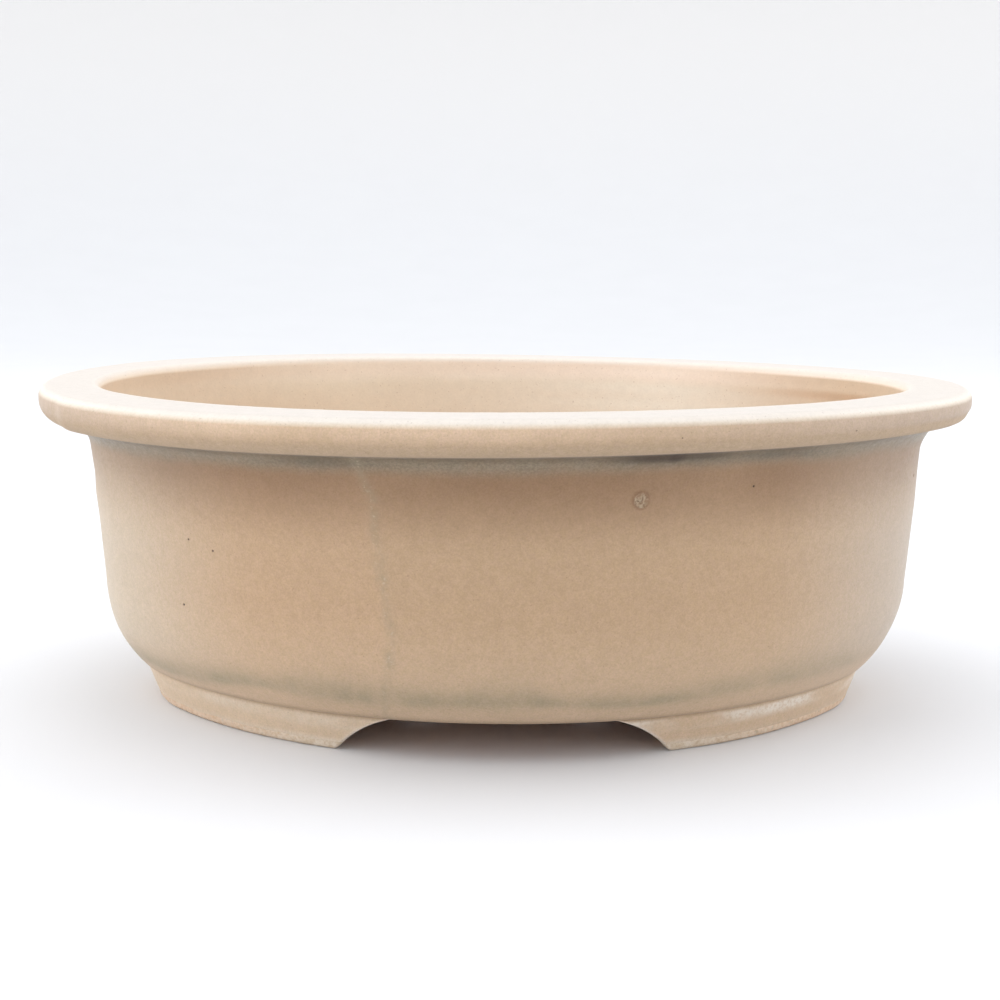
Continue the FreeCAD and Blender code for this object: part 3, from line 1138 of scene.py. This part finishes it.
def outside_tint(shader, painted_light_ramp):
    """The glaze's colour outside: the wall, its slate pools and dark seams, which are partly
    painted shade, and grain.
    """
    tint = wall_tint(shader, painted_light_ramp)
    murk = shader.ramp(shader.noise(0.7, 3, 0.65), 0.35, 0.65)
    murky = shader.mix(colour(134, 120, 101), colour(151, 136, 117), murk)
    pool = shader.times(shader.mask("pool"), shader.patchy(5, 0.6, 0.8))
    tint = toned(shader, shader.mix(tint, murky, pool), POOL_TONES)
    tint = grained(shader, tint, 3.5, 0.03)
    tint = grained(shader, tint, 0.45, 0.08)
    mottle = shader.ramp(shader.noise(1.2, 3, 0.6), 0.35, 0.65)
    mottled = shader.mix(WHITE, colour(249, 250, 244), mottle)
    return shader.mix(tint, mottled, 1.0, "MULTIPLY")


def mouth_tint(shader, painted_light_ramp):
    """The paler, smoother glaze on top of the rim and inside the mouth; its paleness is partly
    the glaze's own and partly painted light, brightest on the inside's right part.
    """
    # painted light: the inside gets paler towards the right, facing the light from the left
    lit = shader.times(shader.mask("inside"), shader.times(painted_light_ramp, 0.7))
    tint = shader.mix(colour(229, 223, 202), colour(248, 254, 245), lit)
    tint = grained(shader, toned(shader, tint, MOUTH_TONES), 3.5, 0.02)
    return grained(shader, tint, 0.7, 0.025)


def blemishes(shader, tint):
    """Pale worn edges, partly a painted highlight, the overlap's line, specks, the crater with
    its ring of partly painted shade, and the pinholes.
    """
    tint = shader.tinted(tint, (238, 230, 219), "thin_glaze_and_highlight", 0.8, shader.patchy(0.9, 0.7, 0.45))
    tint = shader.tinted(tint, (232, 224, 212), "streak", 0.85, shader.patchy(1.1, 0.7, 0.3))
    tint = shader.tinted(tint, (158, 146, 122), "line", 0.55, shader.patchy(2.2, 0.6, 0.3))
    flecks = shader.ramp(shader.noise(0.7, 2, 0.6), 0.58, 0.7)
    tint = shader.tinted(tint, (222, 208, 188), "line", 0.35, flecks)
    tint = specked(shader, tint, colour(120, 88, 60), 0.5, 0.77, 0.22)
    # warm dark ring round the crater, partly painted shade
    tint = shader.tinted(tint, (124, 90, 64), "ring", 0.6, shader.patchy(1.6, 0.7, 0.2))
    crust = shader.ramp(shader.noise(0.5, 2, 0.6), 0.35, 0.65)
    crumbs = shader.mix(colour(116, 92, 68), colour(190, 171, 145), crust)
    tint = shader.mix(tint, crumbs, shader.mask("crust"))
    return shader.tinted(tint, (46, 34, 26), "hole")


def glaze_material():
    """A satin-matt beige glaze, glossier where it pools."""
    shader = Shader("beige_glaze")
    painted_light_ramp = shader.mask("painted_light_ramp")
    tint = outside_tint(shader, painted_light_ramp)
    tint = shader.mix(tint, mouth_tint(shader, painted_light_ramp), shader.mask("mouth"))
    gloss = shader.ramp(shader.mask("pool"), 0, 1, 0.0, -0.12)
    gloss = shader.plus(gloss, shader.times(shader.mask("below"), 0.5))
    grainy = shader.ramp(shader.noise(1.3, 3, 0.6), 0.3, 0.7, 0.46, 0.58)
    height = shader.plus(shader.noise(0.7, 3, 0.6), shader.times(shader.noise(3.2, 2), 1.2))
    return shader.finish({
        "Base Color": blemishes(shader, tint),
        "Roughness": shader.plus(gloss, grainy),
        "IOR": 1.5,
        "Specular IOR Level": 0.35,
        "Sheen Weight": 0.12,
        "Sheen Roughness": 0.4,
        "Normal": shader.bump(height, 0.028),
    })


def clay_material():
    """Bare stoneware: warm, rough and grainy, paler where glaze was wiped off."""
    shader = Shader("stoneware")
    uneven = shader.ramp(shader.noise(17, 3), 0.35, 0.65)
    tint = shader.mix(colour(226, 169, 122), colour(211, 152, 105), uneven)
    tint = grained(shader, tint, 3.0, 0.06)
    tint = grained(shader, tint, 0.6, 0.12)
    tint = specked(shader, tint, colour(92, 66, 48), 0.9, 0.70, 0.7)
    tint = specked(shader, tint, colour(226, 206, 180), 1.1, 0.72, 0.6)
    smeared = shader.ramp(shader.noise(1.4, 3, 0.7), 0.3, 0.65)
    pale = shader.mix(colour(200, 178, 150), colour(222, 208, 190), smeared)
    height = shader.plus(shader.noise(0.9, 4, 0.65), shader.times(shader.noise(4.5, 2), 1.5))
    return shader.finish({
        "Base Color": shader.mix(tint, pale, shader.mask("wiped")),
        "Roughness": shader.ramp(shader.noise(0.8, 3, 0.6), 0.3, 0.7, 0.74, 0.92),
        "Normal": shader.bump(height, 0.16),
    })


# ---------- studio
STAGE_FLAT = 1200.0  # the stage is flat out to here
STAGE_BEND = 2400.0  # radius of its bend
STAGE_SLOPE = math.radians(62)
STAGE_RUN = 2200.0
WORLD_STRENGTH = 0.5
LAMP_SIZE = 0.8
LAMP_AIM = Vector((0, 0, 0.05))
SIDE_LIGHTS = [
    ("left", (-1.0, -0.35, 0.4), 3.0),
    ("right", (1.0, -0.4, 0.35), 1.6),
    ("left_behind", (-1.0, 0.35, 0.6), 4.0),
    ("right_behind", (1.0, 0.35, 0.6), 5.0),
]
CAMERA_PLACE = (-4.6, -480.0, 129.4)
AZIMUTH, DIP, ROLL = 0.007, 0.157, 0.007
LENS = 62.35


def stage_material():
    """Pale paper, a little lighter high up: painted light, where the lamps light the slope less.
    """
    shader = Shader("pale_paper")
    tint = shader.mix(colour(224, 226, 230), colour(227, 229, 233), shader.noise(60, 2))
    height = shader.node("ShaderNodeSeparateXYZ", {0: shader.place}).outputs["Z"]
    far = shader.ramp(height, 0, 0.5)
    return shader.finish({
        "Base Color": shader.mix(tint, colour(234, 234, 235), far),
        "Roughness": 0.9,
        "Specular IOR Level": 0.1,
    })


def stage_profile():
    """The stage's (radius, height): flat, then a gentle bend, then a straight slope."""
    turn = np.linspace(0, STAGE_SLOPE, 40)
    out = np.linspace(0, STAGE_RUN, 6)[1:]
    profile = [(radius, 0.0) for radius in np.linspace(0, STAGE_FLAT, 12)[1:-1]]
    bend = (STAGE_FLAT + STAGE_BEND * np.sin(turn), STAGE_BEND * (1 - np.cos(turn)))
    profile += list(zip(*bend))
    end_x, end_z = profile[-1]
    profile += list(zip(end_x + out * math.cos(STAGE_SLOPE), end_z + out * math.sin(STAGE_SLOPE)))
    return np.array(profile)


def make_stage():
    """A pale floor that sweeps up gently all round, well away from the pot."""
    profile = stage_profile()
    angles = np.linspace(0, 2 * math.pi, 96, endpoint=False)
    x = profile[:, :1] * np.cos(angles)
    y = profile[:, :1] * np.sin(angles)
    z = np.broadcast_to(profile[:, 1:], x.shape)
    points = np.stack([x, y, z], -1).reshape(-1, 3)
    made = bmesh.new()
    corners = [made.verts.new(point * MM) for point in points]
    centre = made.verts.new((0, 0, 0))
    for quad in wrap_faces(len(profile), len(angles), False, True)[:, ::-1]:
        made.faces.new([corners[i] for i in quad])
    for i in range(len(angles)):
        made.faces.new([centre, corners[i], corners[(i + 1) % len(angles)]])
    mesh = bpy.data.meshes.new("studio_floor")
    bmesh.ops.recalc_face_normals(made, faces=made.faces)
    made.to_mesh(mesh)
    made.free()
    shade_smooth(mesh)
    mesh.materials.append(stage_material())
    add_object("studio_floor", mesh)


def soft_light(name, place, power):
    """A square lamp that shines at the pot."""
    lamp = bpy.data.lights.new(name, "AREA")
    lamp.shape = "RECTANGLE"
    lamp.size = lamp.size_y = LAMP_SIZE
    lamp.energy = power
    thing = add_object(name, lamp)
    thing.location = place
    thing.rotation_euler = (LAMP_AIM - Vector(place)).to_track_quat("-Z", "Y").to_euler()


def sun(name, towards, angle, strength):
    """A broad even light from a direction."""
    lamp = bpy.data.lights.new(name, "SUN")
    lamp.angle = math.radians(angle)
    lamp.energy = strength
    thing = add_object(name, lamp)
    thing.rotation_euler = Vector(towards).to_track_quat("Z", "Y").to_euler()


def make_lights():
    world = bpy.data.worlds.new("studio")
    world.use_nodes = True
    sky = world.node_tree.nodes["Background"]
    sky.inputs["Color"].default_value = WHITE
    sky.inputs["Strength"].default_value = WORLD_STRENGTH
    bpy.context.scene.world = world
    sun("overhead", (-0.08, -0.03, 1.0), 68, 1.68)
    for name, place, power in SIDE_LIGHTS:
        soft_light(name, place, power)


def make_camera():
    forward = Vector((
        math.sin(AZIMUTH) * math.cos(DIP),
        math.cos(AZIMUTH) * math.cos(DIP),
        -math.sin(DIP),
    ))
    level = Vector((math.cos(AZIMUTH), -math.sin(AZIMUTH), 0))
    upright = level.cross(forward)
    right = level * math.cos(ROLL) + upright * math.sin(ROLL)
    up = upright * math.cos(ROLL) - level * math.sin(ROLL)
    lens = bpy.data.cameras.new("camera")
    lens.sensor_width = 36.0
    lens.lens = LENS
    lens.clip_start = 0.01
    lens.clip_end = 20.0
    camera = add_object("camera", lens)
    turned = Matrix((right, up, -forward)).transposed().to_4x4()
    camera.matrix_world = Matrix.Translation(Vector(CAMERA_PLACE) * MM) @ turned
    bpy.context.scene.camera = camera


glaze = glaze_material()
clay = clay_material()
make_glaze(glaze)
make_rim(clay)
make_wall(clay)
make_floor(clay)
make_foot(-1, "left_foot", clay)
make_foot(1, "right_foot", clay)
make_foot_glaze(-1, "left_foot_glaze", glaze)
make_foot_glaze(1, "right_foot_glaze", glaze)
make_stage()
make_lights()
make_camera()
bpy.context.scene.view_settings.view_transform = "Standard"
